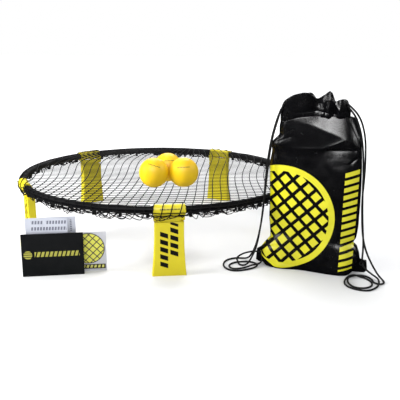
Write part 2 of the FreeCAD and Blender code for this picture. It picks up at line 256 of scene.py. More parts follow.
def woven_cord(name, colour):
    s = Shader(name)
    strands = s.node("ShaderNodeTexVoronoi", Vector=s.place, Scale=900.0).outputs["Distance"]
    tint = s.mix(s.spread(s.noise(260.0), 0.0, 1.0), shade(colour, 0.6), shade(colour, 1.9))
    return s.finish(tint, 0.75, s.bump(strands, 0.0005, 0.8), Specular_IOR_Level=0.2)


def braided_cord(name, colour):
    """Braid seen from the cord's own length and girth."""
    s = Shader(name)
    uv = s.node("ShaderNodeTexCoord").outputs["UV"]
    split = s.node("ShaderNodeSeparateXYZ", Vector=uv).outputs
    along = s.math("MULTIPLY", split[0], 240.0 * math.tau)
    around = s.math("MULTIPLY", split[1], 6.0 * math.tau)
    one = s.math("SINE", s.math("ADD", along, around))
    two = s.math("SINE", s.math("SUBTRACT", along, around))
    braid = s.math("MAXIMUM", one, two)
    fuzz = s.noise(1500.0, 3.0)
    tint = s.mix(s.spread(s.noise(300.0), 0.0, 1.0), shade(colour, 0.7), shade(colour, 1.8))
    normal = s.bump(fuzz, 0.0003, 0.5, under=s.bump(braid, 0.0004, 0.5))
    return s.finish(tint, 0.62, normal, Specular_IOR_Level=0.25)


def ball_rubber(name, centre, print_turn, print_start, print_up):
    """Pebbled yellow rubber with a row of short printed dashes."""
    s = Shader(name)
    pebble = s.node("ShaderNodeTexVoronoi", Vector=s.place, Scale=620.0).outputs["Distance"]
    tint = s.mix(s.spread(s.noise(14.0), 0.0, 1.0), (0.79, 0.485, 0.003), (0.83, 0.545, 0.005))
    across, deep, up = s.local(centre, yaw=-0.04, lean=-0.215, roll=print_turn)
    dashes = s.all_of(s.math("LESS_THAN", deep, -0.01),
                      s.between(across, print_start, print_start + 0.037),
                      s.between(up, print_up - 0.0011, print_up + 0.0011),
                      s.stripes(across, 0.0042, 0.72))
    colour = s.mix(dashes, tint, (0.13, 0.09, 0.008))
    rough = s.spread(s.noise(60.0), 0.40, 0.52)
    return s.finish(colour, rough, s.bump(pebble, 0.0004, 0.22), Specular_IOR_Level=0.3,
                    Subsurface_Weight=0.12, Subsurface_Radius=(0.01, 0.006, 0.001))


def bag_print(s, across, deep, up):
    """1 where the bag's front has ink: a checked disc, and a column of slanted bars."""
    from_left = s.math("SUBTRACT", across, BAG_DISC_MIDDLE[0])
    sideways = s.math("MAXIMUM", from_left, s.math("MULTIPLY", from_left, -1.12))
    from_middle = s.length(sideways, s.math("SUBTRACT", up, BAG_DISC_MIDDLE[1]))
    border = s.math("GREATER_THAN", from_middle, BAG_DISC_RADIUS - BAG_DISC_BORDER)
    squares = s.all_of(s.stripes(s.math("ADD", across, up), 0.043, 0.68),
                       s.stripes(s.math("SUBTRACT", across, up), 0.043, 0.68))
    # The disc is cut off where the cloth turns back at the lower left corner.
    front_of_corner = s.all_of(s.math("GREATER_THAN", s.slanted(up, across, 0.65), -0.0542),
                               s.math("GREATER_THAN", across, -0.136))
    disc = s.all_of(s.math("LESS_THAN", from_middle, BAG_DISC_RADIUS), front_of_corner,
                    s.any_of(border, squares))
    slant = s.slanted(up, across, -0.3)
    bars = s.all_of(s.between(across, 0.087, 0.123), s.between(slant, -0.014, 0.262),
                    s.stripes(slant, 0.0205, 0.60))
    front = s.math("LESS_THAN", deep, 0.0275)
    return s.all_of(front, s.any_of(disc, bars))


def bag_fabric(name, printed):
    """Coated black cloth: fine weave, glossy coating, and the generic print in yellow ink."""
    s = Shader(name)
    across, deep, up = s.local(BAG_ORIGIN, yaw=BAG_YAW)
    threads = 5200.0
    warp = s.math("SINE", s.math("MULTIPLY", across, threads))
    weft = s.math("SINE", s.math("MULTIPLY", up, threads))
    weave = s.math("MULTIPLY", warp, weft)
    creases = s.noise(34.0, 4.0 if printed else 1.5, 0.5)
    colour = s.mix(s.spread(s.noise(22.0), 0.0, 1.0), (0.0012, 0.0012, 0.0018),
                   (0.003, 0.003, 0.0038))
    rough = s.spread(s.noise(48.0, 4.0), 0.20, 0.28)
    normal = s.bump(creases, 0.0009, 0.5, under=s.bump(weave, 0.00012, 0.35))
    if printed:
        ink = bag_print(s, across, deep, up)
        colour = s.mix(ink, colour, INK_YELLOW)
        rough = s.math("ADD", rough, s.math("MULTIPLY", ink, 0.14))
    return s.finish(colour, rough, normal, Specular_IOR_Level=0.55,
                    Coat_Weight=0.3, Coat_Roughness=0.2)


def card_stock(name):
    """Black coated card with a plain striped disc and a row of short strokes."""
    s = Shader(name)
    across, deep, up = s.local(CARD_CORNER, yaw=CARD_YAW, lean=CARD_LEAN)
    from_dot = s.length(s.math("SUBTRACT", across, 0.0165), s.math("SUBTRACT", up, 0.0605))
    disc = s.all_of(s.math("LESS_THAN", from_dot, 0.0115), s.stripes(up, 0.0062, 0.7))
    strokes = s.all_of(s.between(across, 0.034, 0.153), s.between(up, 0.0545, 0.0685),
                       s.stripes(s.slanted(across, up, -0.3), 0.0112, 0.66))
    front = s.math("LESS_THAN", deep, 0.0006)
    ink = s.all_of(front, s.any_of(disc, strokes))
    stock = s.mix(s.spread(s.noise(18.0), 0.0, 1.0), (0.004, 0.005, 0.006), (0.007, 0.008, 0.009))
    colour = s.mix(ink, stock, (0.40, 0.38, 0.06))
    fibres = s.bump(s.noise(900.0, 4.0), 0.0001, 0.3)
    return s.finish(colour, s.spread(s.noise(70.0), 0.38, 0.5), fibres, Specular_IOR_Level=0.3)


def leaflet_paper(name):
    """White paper with plain grey strokes where its lines of print are."""
    s = Shader(name)
    across, deep, up = s.local(LEAFLET_CORNER)
    letters = s.stripes(s.slanted(across, up, -0.12), 0.0077, 0.64)
    first_row = s.all_of(s.between(up, 0.1435, 0.1528), s.any_of(
        s.between(across, 0.015, 0.0475), s.between(across, 0.0535, 0.108)))
    other_rows = s.all_of(s.between(across, 0.015, 0.109), s.any_of(
        s.between(up, 0.1262, 0.1355), s.between(up, 0.0960, 0.1000),
        s.between(up, 0.0860, 0.0900), s.between(up, 0.0760, 0.0800)))
    front = s.math("LESS_THAN", deep, -0.0012)
    margin_note = s.all_of(s.between(across, 0.1165, 0.1215), s.between(up, 0.120, 0.152),
                           s.stripes(up, 0.0052, 0.6))
    ink = s.any_of(s.all_of(front, letters, s.any_of(first_row, other_rows)), margin_note)
    paper = s.mix(s.spread(s.noise(30.0), 0.0, 1.0), (0.50, 0.52, 0.60), (0.57, 0.59, 0.66))
    colour = s.mix(ink, paper, (0.16, 0.17, 0.22))
    fibres = s.bump(s.noise(1100.0, 5.0), 0.0001, 0.35)
    return s.finish(colour, s.spread(s.noise(90.0), 0.7, 0.85), fibres)


def sticker_paper(name):
    """White label with a yellow checked disc and a black strip of yellow dashes."""
    s = Shader(name)
    across, deep, up = s.local(STICKER_MIDDLE)
    from_middle = s.length(across, s.math("SUBTRACT", up, 0.066))
    disc = s.math("LESS_THAN", from_middle, 0.0445)
    rim = s.math("GREATER_THAN", from_middle, 0.0420)
    lines = s.any_of(s.stripes(s.math("ADD", across, up), 0.021, 0.17),
                     s.stripes(s.math("SUBTRACT", across, up), 0.021, 0.17))
    strip = s.all_of(s.between(up, 0.006, 0.0195), s.between(across, -0.03, 0.0455))
    dashes = s.all_of(strip, s.between(up, 0.0090, 0.0170), s.between(across, -0.03, 0.0415),
                      s.stripes(s.slanted(across, up, -0.3), 0.0105, 0.62))
    front = s.math("LESS_THAN", deep, 0.0)
    paper = s.mix(s.spread(s.noise(25.0), 0.0, 1.0), (0.56, 0.565, 0.61), (0.61, 0.61, 0.65))
    colour = s.mix(s.all_of(front, disc), paper, (0.78, 0.76, 0.10))
    colour = s.mix(s.all_of(front, disc, s.any_of(rim, lines)), colour, (0.05, 0.05, 0.05))
    colour = s.mix(s.all_of(front, strip), colour, BLACK)
    colour = s.mix(s.all_of(front, dashes), colour, (0.72, 0.70, 0.16))
    fibres = s.bump(s.noise(700.0, 3.0), 0.00006, 0.3)
    return s.finish(colour, s.spread(s.noise(60.0), 0.42, 0.55), fibres)


def brushed_pin(name):
    s = Shader(name)
    streaks = s.node("ShaderNodeMapping", Vector=s.place, Scale=(60.0, 60.0, 900.0)).outputs[0]
    scratch = s.noise(3.0, 4.0, place=streaks)
    tint = s.mix(scratch, (0.45, 0.45, 0.46), (0.62, 0.62, 0.63))
    return s.finish(tint, s.spread(scratch, 0.25, 0.42), s.bump(scratch, 0.0001, 0.3),
                    Metallic=1.0)


black_plastic = moulded_plastic("black_tube_plastic", BLACK, 0.44, 0.08)
net_material = woven_cord("net_cord_weave", (0.0035, 0.0035, 0.004))
bag_cord_material = braided_cord("drawcord_braid", (0.003, 0.003, 0.0035))
bag_print_material = bag_fabric("bag_cloth_printed", True)
bag_plain_material = bag_fabric("bag_cloth_plain", False)
valve_material = moulded_plastic("valve_rubber_black", (0.02, 0.02, 0.02), 0.6)
eyelet_material = moulded_plastic("eyelet_black_paint", (0.015, 0.015, 0.015), 0.3)
pin_material = brushed_pin("hinge_pin_steel")
card_material = card_stock("card_black_stock")
leaflet_material = leaflet_paper("leaflet_white_paper")
sticker_material = sticker_paper("sticker_label_stock")


# ---------------------------------------------------------------- mesh and curve helpers
def add_piece(name, data, material, body, slot, *replaced):
    piece = bpy.data.objects.new(name, data)
    bpy.context.scene.collection.objects.link(piece)
    data.materials.append(material)
    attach(piece, body)
    if replaced:
        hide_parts(*replaced)
    return piece


def loft_mesh(name, rings):
    """A closed mesh through rings of points, with both ends capped by a fan."""
    count = len(rings[0])
    points = [p for ring in rings for p in ring]
    faces = []
    for low in range(len(rings) - 1):
        for k in range(count):
            a = low * count + k
            b = low * count + (k + 1) % count
            faces.append((a, b, b + count, a + count))
    for first, flip in ((0, True), ((len(rings) - 1) * count, False)):
        middle = len(points)
        points.append(sum((points[first + k] for k in range(count)), Vector()) / count)
        for k in range(count):
            a, b = first + k, first + (k + 1) % count
            faces.append((b, a, middle) if flip else (a, b, middle))
    mesh = bpy.data.meshes.new(name)
    mesh.from_pydata([tuple(p) for p in points], [], faces)
    mesh.update()
    for face in mesh.polygons:
        face.use_smooth = True
    return mesh


def cord_curves(name, lines, radius, resolution):
    """Many fixed cords of one thickness, drawn from the ring's axis, as one curve object."""
    data = bpy.data.curves.new(name, "CURVE")
    data.dimensions = "3D"
    data.bevel_depth = radius
    data.bevel_resolution = resolution
    data.use_fill_caps = True
    for line in lines:
        spline = data.splines.new("POLY")
        spline.points.add(len(line) - 1)
        for point, target in zip(spline.points, line):
            point.co = (*target, 1)
        spline.use_smooth = True
    data.transform(Matrix.Translation(RING_CENTRE))
    return data


def free_cord(name, points, radius):
    """One cord on a smooth NURBS line through its own control points."""
    data = bpy.data.curves.new(name, "CURVE")
    data.dimensions = "3D"
    data.bevel_depth = radius
    data.bevel_resolution = 4
    data.use_fill_caps = True
    data.resolution_u = 8
    spline = data.splines.new("NURBS")
    spline.points.add(len(points) - 1)
    for point, target in zip(spline.points, points):
        point.co = (*target, 1)
    spline.order_u = 3
    spline.use_endpoint_u = True
    return data


def smoothstep(value, start, end):
    t = max(0.0, min(1.0, (value - start) / (end - start)))
    return t * t * (3 - 2 * t)


def curve_value(table, key):
    """Smooth value between rows of (key, value)."""
    keys = [row[0] for row in table]
    k = max(0, min(len(keys) - 2, bisect.bisect_right(keys, key) - 1))
    start, end = table[k], table[k + 1]
    t = max(0.0, min(1.0, (key - start[0]) / (end[0] - start[0])))
    before = table[max(0, k - 1)]
    after = table[min(len(table) - 1, k + 2)]
    slope_in = (end[1] - before[1]) / max(1e-9, end[0] - before[0]) * (end[0] - start[0])
    slope_out = (after[1] - start[1]) / max(1e-9, after[0] - start[0]) * (end[0] - start[0])
    return ((2 * t ** 3 - 3 * t ** 2 + 1) * start[1] + (t ** 3 - 2 * t ** 2 + t) * slope_in
            + (3 * t ** 2 - 2 * t ** 3) * end[1] + (t ** 3 - t ** 2) * slope_out)


def in_bag(across, deep, up):
    """A point of the bag's own frame, in millimetres, placed in the shared frame."""
    cosine, sine = math.cos(BAG_YAW), math.sin(BAG_YAW)
    u, v = across * MM, deep * MM
    return BAG_ORIGIN + Vector((u * cosine - v * sine, u * sine + v * cosine, up * MM))


# ---------------------------------------------------------------- drawcords
CORD_RADIUS = 0.0025
# Control points in the bag's own frame, in millimetres: across, deep and up.
CORD_ROUTES = {
    "cord_left_outer": [
        (-80, 21, 470), (-92, 22, 452), (-103, 22, 424), (-112, 21, 390), (-118, 20, 360),
        (-122, 19, 332),
        (-125, 17, 300), (-128, 15, 250), (-130, 14, 194), (-134, 16, 143), (-139, 19, 103),
        (-146, 23, 68), (-154, 25, 40), (-165, 21, 17)],
    "cord_left_inner": [
        (-93, 8, 447), (-100, 7, 418), (-107, 5, 391), (-113, 4, 363), (-116, 3, 335),
        (-120, 3, 300), (-123, 2, 250), (-127, 3, 200), (-131, 5, 150), (-137, 7, 104),
        (-142, 7, 70), (-147, 5, 46), (-155, 0, 25), (-163, -8, 9)],
    "cord_right_outer": [
        (75, 13, 470), (97, 12, 453), (114, 11, 431), (124, 10, 406), (131, 9, 376),
        (134, 8, 343), (136, 7, 304), (136, 5, 262), (135, 4, 215), (138, 2, 175),
        (142, 0, 135), (148, -2, 102), (157, -3, 76), (169, -4, 51), (183, -5, 28),
        (195, -7, 11.5), (206, -13, 3.6), (211, -29, 2.6), (200, -44, 2.6)],
    "cord_right_inner": [
        (76, 22, 462), (95, 23, 444), (108, 24, 420), (118, 25, 392), (124.5, 27, 361),
        (129.5, 29, 323), (132.5, 30, 280), (134.5, 31, 235), (138, 30, 182), (142, 26, 140),
        (147, 20, 100), (149, 17, 68), (148, 18.5, 42)],
}
# The slack lies on the floor in unequal loops, and each cord ends at its corner's eyelet.
FLOOR_LOOPS = {
    "cord_left_outer": [
        (-177, 29, 6), (-191, 35, 2.6), (-209, 31, 2.6), (-226, 17, 2.6), (-235, -7, 2.6),
        (-232, -36, 2.6), (-219, -59, 2.6), (-198, -71, 2.6), (-176, -64, 2.6),
        (-155, -46, 2.6), (-140, -26, 2.6), (-137, -6, 2.6), (-149, 9, 2.6), (-168, 13, 2.6),
        (-190, 5, 2.6), (-209, -10, 2.6), (-216, -32, 2.6), (-208, -51, 2.6),
        (-193, -56, 2.6), (-176, -45, 2.6), (-162, -32, 3.5), (-150, -25, 8.2),
        (-140, -20, 8.5), (-131, -10, 9.5), (-127, 2, 14), (-128, 11, 20.5), (-130, 19, 28)],
    "cord_left_inner": [
        (-169, -17, 4), (-179, -23, 2.6), (-190, -18, 3.5), (-197, -4, 8.2), (-203, 8, 10),
        (-199, 17, 15), (-185, 19, 24), (-167, 15, 32), (-151, 13, 37), (-138, 17, 35)],
    "cord_right_outer": [
        (183, -38, 2.6), (180, -21, 2.6), (173, -6, 2.6), (161, 4, 2.6), (147, 6, 2.6),
        (132, 0, 2.6),
        (120, -12, 2.6), (114, -32, 2.6), (117, -58, 2.6), (129, -80, 2.6), (146, -86, 2.6),
        (164, -80, 2.6), (177, -65, 2.6), (180, -45, 2.6), (173, -25, 2.6), (160, -11, 2.6),
        (145, -6, 3.5), (131, -9, 8.2), (119, -19, 8.2), (110, -36, 5), (107, -59, 2.6),
        (114, -80, 2.6), (129, -93, 2.6), (148, -98, 2.6), (167, -97, 2.6), (183, -82, 2.6),
        (193, -61, 2.6), (197, -41, 4), (195, -22, 8.2), (186, -8, 9.5), (175, 2, 12),
        (163, 11, 17.5), (153, 17, 24), (149, 20.5, 31)],
}
CAD_PIECES_OF_LOOPS = {
    "cord_left_outer": ["cord_coil_left", "cord_left_end"],
    "cord_left_inner": ["cord_left_tail"],
    "cord_right_outer": ["cord_coil_right", "cord_right_end"],
}


def make_drawcords():
    for name, route in CORD_ROUTES.items():
        points = [in_bag(*p) for p in route + FLOOR_LOOPS.get(name, [])]
        replaced = [name] + CAD_PIECES_OF_LOOPS.get(name, [])
        data = free_cord("drawcord_" + name[5:], points, CORD_RADIUS)
        piece = add_piece("drawcord_" + name[5:], data, bag_cord_material, "bag",
                          "bag_cord", *replaced)


make_drawcords()


# ---------------------------------------------------------------- net
# A lengthwise cord's x, from its number and its y: the net lies a little askew and in
# gentle waves, as polynomials in y (rising powers).
NET_SHIFT = (0.0391, 0.152, 0.020, 0.263, 0.204)
NET_PITCH = (0.0249, 0.0129, 0.018, -0.1425, -0.257)
CROSS_PITCH = 0.0196
CROSS_TILT = -0.150
LENGTHWISE_NUMBERS = range(-22, 21)
CROSSWISE_NUMBERS = range(-25, 26)
# How far over a sleeve each set of cords goes, in sleeve radii past the ring's centre line.
LENGTHWISE_REACH = 2.35
CROSSWISE_REACH = -0.3
HEM_ROLL = 2.35             # radians round the tube, from its top, to the net's outer edge
NET_STEP = 0.0035           # least spacing of the points along a net cord


def polynomial(factors, value):
    return sum(f * value ** power for power, f in enumerate(factors))


def nearest_socket(angle):
    """Angle in radians to the nearest socket's middle."""
    return min(abs((angle - math.radians(a) + math.pi) % (2 * math.pi) - math.pi)
               for a in LEG_ANGLES.values())


def wrap_radius(angle):
    near = 1 - smoothstep(nearest_socket(angle), SOCKET_HALF_ANGLE - 0.002,
                          SOCKET_HALF_ANGLE + 0.014)
    return TUBE_WRAP + (SOCKET_WRAP - TUBE_WRAP) * near


def on_rim(angle, roll, lift=0.0):
    """A point on the net's way round the tube: roll 0 is on top, and pi is underneath."""
    reach = wrap_radius(angle) + lift
    radius = RIM_RADIUS + reach * math.sin(roll)
    return Vector((radius * math.cos(angle), radius * math.sin(angle),
                   RIM_HEIGHT + reach * math.cos(roll)))


def net_point(x, y, socket_reach):
    """A flat net point laid over the ring; None beyond the hem, or too far over a sleeve."""
    distance = math.hypot(x, y)
    angle = math.atan2(y, x)
    if nearest_socket(angle) < SOCKET_HALF_ANGLE + 0.01:
        if distance > RIM_RADIUS + socket_reach * SOCKET_WRAP:
            return None
    if distance <= RIM_RADIUS:
        rise = (wrap_radius(angle) - TUBE_WRAP) * smoothstep(distance, RIM_RADIUS - 0.035,
                                                             RIM_RADIUS)
        return Vector((x, y, RIM_HEIGHT + TUBE_WRAP + rise))
    roll = (distance - RIM_RADIUS) / wrap_radius(angle)
    return on_rim(angle, roll) if roll <= HEM_ROLL else None


def net_runs(position, socket_reach):
    """Samples one cord from side to side: the runs of it that lie on the ring."""
    runs = [[]]
    steps = 240
    for k in range(steps + 1):
        along = -0.5 + k / steps
        point = net_point(*position(along), socket_reach)
        line = runs[-1]
        if point is None:
            if line:
                runs.append([])
        elif not line or (point - line[-1]).length > NET_STEP:
            line.append(point)
    return [line for line in runs if len(line) > 4]


def make_net():
    """The net's two sets of cords. Returns where all the cords end, round the ring."""
    lengthwise_lines = []
    crosswise_lines = []
    for number in LENGTHWISE_NUMBERS:
        def lengthwise(y, number=number):
            return (polynomial(NET_SHIFT, y) + number * polynomial(NET_PITCH, y), y)
        lengthwise_lines += net_runs(lengthwise, LENGTHWISE_REACH)
    for number in CROSSWISE_NUMBERS:
        def crosswise(x, number=number):
            wave = 0.004 * math.sin(9 * x + number * 0.35)
            return (x, number * CROSS_PITCH + CROSS_TILT * x + wave + 0.006)
        crosswise_lines += net_runs(crosswise, CROSSWISE_REACH)
    ends = []
    for name, lines, radius in (("net_lengthwise", lengthwise_lines, LENGTHWISE_CORD),
                                ("net_crosswise", crosswise_lines, CROSSWISE_CORD)):
        for line in lines:
            ends += [end for end in (line[0], line[-1]) if end.z < RIM_HEIGHT]
        data = cord_curves(name, lines, radius, 1)
        add_piece(name, data, net_material, "frame", "net_cord", "net")
    return ends


def ring_cord(start, end, roll, drop, wobble, seed):
    """A cord along the ring, held at a roll and sagging unevenly between hooks."""
    line = []
    count = max(2, round((end - start) / 0.0087))
    for k in range(count + 1):
        angle = start + (end - start) * k / count
        wave = noise.noise(Vector((math.cos(angle) * 9, math.sin(angle) * 9, seed)))
        sag = abs(math.sin(angle * 41 + seed)) * drop
        point = on_rim(angle, roll + wobble * wave, 0.001)
        point.z -= sag
        line.append(point)
    return line


def edge_loop(start, finish):
    """A slack loop of net cord that hangs from one cord's end to another's."""
    first = math.atan2(start.y, start.x)
    turn = (math.atan2(finish.y, finish.x) - first + math.pi) % (2 * math.pi) - math.pi
    left_leg = math.radians(LEG_ANGLES["left"])
    from_left_leg = abs((first - left_leg + math.pi) % (2 * math.pi) - math.pi)
    slack = 0.4 + 0.6 * smoothstep(from_left_leg, math.radians(6), math.radians(32))
    hang = random.uniform(0.006, 0.019) * slack
    swing = random.uniform(-0.010, 0.006)
    lean = random.uniform(-0.03, 0.03)
    curl = random.uniform(-1.0, 1.0)
    line = []
    for step in range(15):
        t = step / 14
        bow = math.sin(math.pi * t)
        angle = first + turn * t + lean * bow + curl * 0.012 * math.sin(2 * math.pi * t)
        base = start.lerp(finish, t)
        radius = math.hypot(base.x, base.y) + swing * bow
        line.append(Vector((radius * math.cos(angle), radius * math.sin(angle),
                            base.z - hang * bow ** 0.7)))
    return line


def make_hem(ends):
    """Cords along the ring that hold the net's edge, and slack loops between the cords' ends."""
    lines = [ring_cord(0, 2 * math.pi, HEM_ROLL, 0.002, 0.12, 8.0),
             ring_cord(0, 2 * math.pi, 1.85, 0.001, 0.13, 5.0)]
    for middle in LEG_ANGLES.values():
        start = math.radians(middle) + SOCKET_HALF_ANGLE - 0.004
        end = math.radians(middle + 72) - SOCKET_HALF_ANGLE + 0.004
        for roll, seed in ((0.62, 3.0), (1.25, 4.0)):
            lines.append(ring_cord(start, end, roll, 0.0, 0.13, seed))
    data = cord_curves("net_edge_cords", lines, HEM_CORD, 2)
    add_piece("net_edge_cords", data, net_material, "frame", "net_cord", "net_hem")
    loops = []
    order = sorted(ends, key=lambda p: math.atan2(p.y, p.x))
    for reach in (1, 2, 3):
        for k, start in enumerate(order):
            finish = order[(k + reach) % len(order)]
            if 0.003 < (finish - start).length < 0.055:
                loops.append(edge_loop(start, finish))
    data = cord_curves("net_edge_loops", loops, EDGE_CORD, 1)
    add_piece("net_edge_loops", data, net_material, "frame", "net_cord")


make_hem(make_net())


# ---------------------------------------------------------------- balls
BALL_RADIUS = 0.044
# How each ball's print is turned, where it starts and how high it is on the ball.
BALL_PRINTS = {1: (0.32, -0.027, 0.0187), 2: (-0.04, -0.020, 0.0144), 3: (-0.04, -0.011, 0.0190)}


def make_ball(number):
    """A round ball with one shallow moulded seam."""
    low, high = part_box("ball_%d" % number)
    centre = (low + high) / 2
    rows, count = 72, 144
    seam_axis = Vector((0.55, 0.35, 0.76)).normalized()
    rings = []
    for row in range(1, rows):
        tilt = math.pi * row / rows
        ring = []
        for k in range(count):
            turn = 2 * math.pi * k / count
            way = Vector((math.sin(tilt) * math.cos(turn), math.sin(tilt) * math.sin(turn),
                          -math.cos(tilt)))
            from_seam = abs(way.dot(seam_axis)) * BALL_RADIUS
            groove = 0.00022 * math.exp(-(from_seam / 0.0006) ** 2)
            ring.append(centre + way * (BALL_RADIUS - groove))
        rings.append(ring)
    mesh = loft_mesh("game_ball_%d" % number, rings)
    for vertex in (mesh.vertices[-2], mesh.vertices[-1]):
        vertex.co = centre + (vertex.co - centre).normalized() * BALL_RADIUS
    material = ball_rubber("ball_rubber_%d" % number, centre, *BALL_PRINTS[number])
    add_piece("game_ball_%d" % number, mesh, material, "ball_%d" % number, "ball_rubber",
              "ball_%d" % number)


for number in (1, 2, 3):
    make_ball(number)


# ---------------------------------------------------------------- bag
BAG_TOP = 432               # length of the bag's skin up to its channel, in millimetres
# Outlines of the bag's side seams: height, then how far across.
BAG_LEFT = [(0, -121), (8, -129), (22, -134), (40, -133), (57, -127), (68, -117), (78, -111),
            (114, -113), (143, -116), (188, -116), (231, -118), (289, -120), (309, -119),
            (331, -116), (351, -118), (363, -111), (376, -99), (393, -98), (421, -98),
            (432, -96)]
BAG_RIGHT = [(0, 120), (8, 127), (22, 134), (40, 138), (58, 139), (74, 132), (87, 121.5),
             (100, 127), (129, 130.5), (166, 131), (209, 131), (264, 129.5), (319, 126.5),
             (346, 123.5), (372, 120), (398, 114.5), (420, 110), (432, 107)]
BAG_HALF_DEPTH = [(0, 34), (10, 35), (60, 33), (110, 33), (200, 33), (290, 33), (345, 33),
                  (432, 32)]
BAG_MIDDLE = 32.0
# Across the bag: the height of its front panel's hem, and the height of the knee above
# which the front leans back.
BAG_HEM = [(-130, 408), (-85, 414), (-52, 425), (6, 432), (70, 431), (98, 430), (112, 425),
           (125, 420)]
BAG_KNEE = [(-130, 424), (-60, 418), (-20, 412), (8, 404), (28, 396), (51, 388), (79, 377),
            (97, 366), (112, 353), (130, 342)]
KNEE_SLOPE = 0.44
# How far the front's foot stands forward of the rest, across the bag.
BAG_FOOT = [(-130, 0), (-100, 3), (-75, 8), (-45, 4), (-15, 1), (20, 5), (50, 9), (75, 11),
            (100, 11), (118, 8), (140, 4)]
# Creases on the front: across and up at both ends, reach below and above it, and depth
# (below 0 stands proud).
BAG_FOLDS = [
    (-62, 343, 27, 348, 7, 6, -1.0), (27, 348, 82, 373, 8, 7, -2.0),
    (34, 344, 114, 346, 36, 3, 15), (98, 310, 117, 327, 7, 3, 3),
    (-116, 352, -62, 376, 9, 7, 2.4), (-114, 338, -78, 328, 10, 7, 2),
    (-112, 82, -52, 118, 10, 10, 3), (-128, 52, -80, 66, 8, 6, 4), (122, 88, 96, 110, 10, 9, 1.0),
    (138, 52, 108, 72, 9, 7, 4), (-92, 22, -30, 12, 8, 6, 2),
    (-114, 190, -92, 140, 9, 9, 2), (124, 216, 100, 250, 10, 9, 2),
]


def fold_depth(folds, across, up):
    """How deep the creases are at a point: steep on one side and easy on the other."""
    total = 0.0
    for a0, h0, a1, h1, below, above, depth in folds:
        da, dh = a1 - a0, h1 - h0
        t = max(0.0, min(1.0, ((across - a0) * da + (up - h0) * dh) / (da * da + dh * dh)))
        side, rise = across - a0 - da * t, up - h0 - dh * t
        width = above if rise > 0 else below
        away = math.hypot(side, rise)
        if away < 3.5 * width:
            ends = 0.35 + 0.65 * math.sin(math.pi * (0.12 + 0.76 * t))
            reach = math.hypot(away, 1.2) - 1.2
            total += depth * math.exp(-1.5 * reach / width) * ends
    return total


def bag_section(row_height, turn):
    """A point of the bag's skin: up its height, and round it by turn (0 right, pi left)."""
    left = curve_value(BAG_LEFT, row_height)
    right = curve_value(BAG_RIGHT, row_height)
    low = 1 - smoothstep(row_height, 10, 100)
    flat = smoothstep(row_height, 320, 375)
    side = math.cos(turn)
    side = math.copysign(abs(side) ** (0.85 - 0.2 * low), side)
    across = (left + right) / 2 + (right - left) / 2 * side
    short_of_top = BAG_TOP - curve_value(BAG_HEM, across)
    up = row_height - short_of_top * smoothstep(row_height, 370, BAG_TOP)
    boxy = (9 if side > 0 else 15) * low
    lens = max(0.0, 1 - abs(side) ** (2.6 + boxy + 4 * flat)) ** (0.62 - 0.06 * low)
    front = math.sin(turn) > 0
    deep = curve_value(BAG_HALF_DEPTH, row_height) * lens
    puff = noise.noise(Vector((across * 0.014, up * 0.011, 3.0 if front else 9.0))) * 3.2
    small = noise.noise(Vector((across * 0.05, up * 0.04, 5.0 if front else 1.0))) * 0.9
    deep += (puff + small) * lens * smoothstep(up, 0, 40) * (1 - 0.85 * flat)
    if front:
        deep += curve_value(BAG_FOOT, across) * (1 - smoothstep(up, 10, 150)) * lens
        over_knee = up - curve_value(BAG_KNEE, across)
        lean = (math.hypot(over_knee, 3) + over_knee) / 2
        slope = KNEE_SLOPE * (0.35 + 0.65 * smoothstep(across, -25, 12))
        deep -= slope * lean * min(1.0, lens * 2.3)
        deep -= fold_depth(BAG_FOLDS, across, up) * min(1.0, lens * 1.6)
    else:
        deep -= fold_depth(BAG_FOLDS, 12 - across * 0.9, up * 0.97 - 14) * min(1.0, lens) * 0.7
    deep = max(deep, 0.4)
    return across, BAG_MIDDLE + (-deep if front else deep), up


def make_bag_body():
    """The filled bag, from the rounded bottom up to the channel, where it closes."""
    rows, count = 270, 320
    turns = [2 * math.pi * k / count for k in range(count)]

    def shrunk(height, scale, drop):
        """The ring at a height, drawn in towards the bag's middle and let down."""
        ring = []
        for turn in turns:
            across, deep, up = bag_section(height, turn)
            deep = BAG_MIDDLE + (deep - BAG_MIDDLE) * scale
            ring.append(in_bag(across * scale, deep, up - drop))
        return ring

    rings = [shrunk(0.0, scale, -0.5) for scale in (0.35, 0.7, 0.93, 0.985)]
    for row in range(rows + 1):
        up = BAG_TOP * row / rows
        ring = []
        for turn in turns:
            across, deep, height = bag_section(up, turn)
            ring.append(in_bag(across, deep, max(height, 1.6)))
        rings.append(ring)
    for scale, drop in ((0.985, -0.3), (0.95, 1.5), (0.9, 5.0), (0.6, 7.0)):
        rings.append(shrunk(BAG_TOP, scale, drop))
    mesh = loft_mesh("bag_shell", rings)
    piece = add_piece("bag_shell", mesh, bag_print_material, "bag", "bag_fabric", "bag_body")


# The mouth's ruffled top edge: across, then up.
MOUTH_TOP = [(-95, 449), (-92, 459), (-86, 469), (-72, 479.5), (-60, 486), (-47, 490), (-33, 493),
             (-18, 491), (-9, 484), (-3, 479), (4, 479), (12, 484), (22, 491), (31, 498),
             (36, 496), (41, 483), (46, 471), (56, 475), (66, 478), (78, 475), (84, 460),
             (87, 448)]
